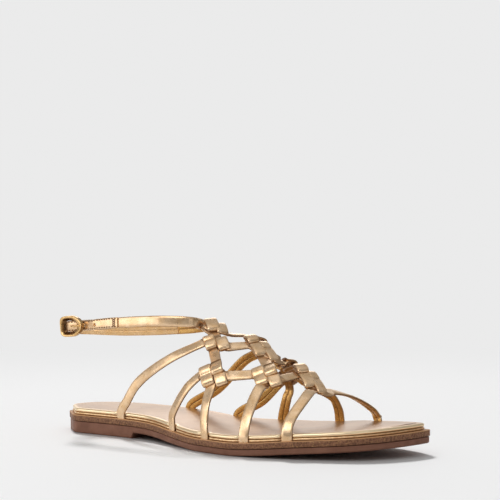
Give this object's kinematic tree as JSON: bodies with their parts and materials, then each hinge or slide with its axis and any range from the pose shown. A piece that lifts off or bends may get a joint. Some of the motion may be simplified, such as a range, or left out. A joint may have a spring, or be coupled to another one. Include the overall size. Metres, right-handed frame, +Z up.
{
  "type": "gladiator sandal",
  "caption": "Flat right-foot sandal with a net of narrow metallic leather straps tied in square knots over the instep and a buckled ankle strap.",
  "frame": {"origin": "middle of the bounding box in plan, on the floor plane that the heel and the ball rest on", "axes": "+X from heel to toe, +Y to the inner (medial) side, +Z up"},
  "size_m": [0.2516, 0.0884, 0.0743],
  "materials": {
    "outsole": "satin",
    "midsole": "speckled, satin",
    "footbed_wrap": "metallic",
    "sock": "metallic satin",
    "straps": "metallic",
    "buckle": "polished"
  },
  "bodies": {
    "root": {"outsole": "outsole", "midsole": "midsole", "footbed_base": "footbed_wrap", "sock": "sock", "upper": "straps", "ankle_strap_outer": "straps", "ankle_strap_inner": "straps", "hole_strap": "straps", "buckle_frame": "buckle", "buckle_prong": "buckle"}
  },
  "joints": []
}
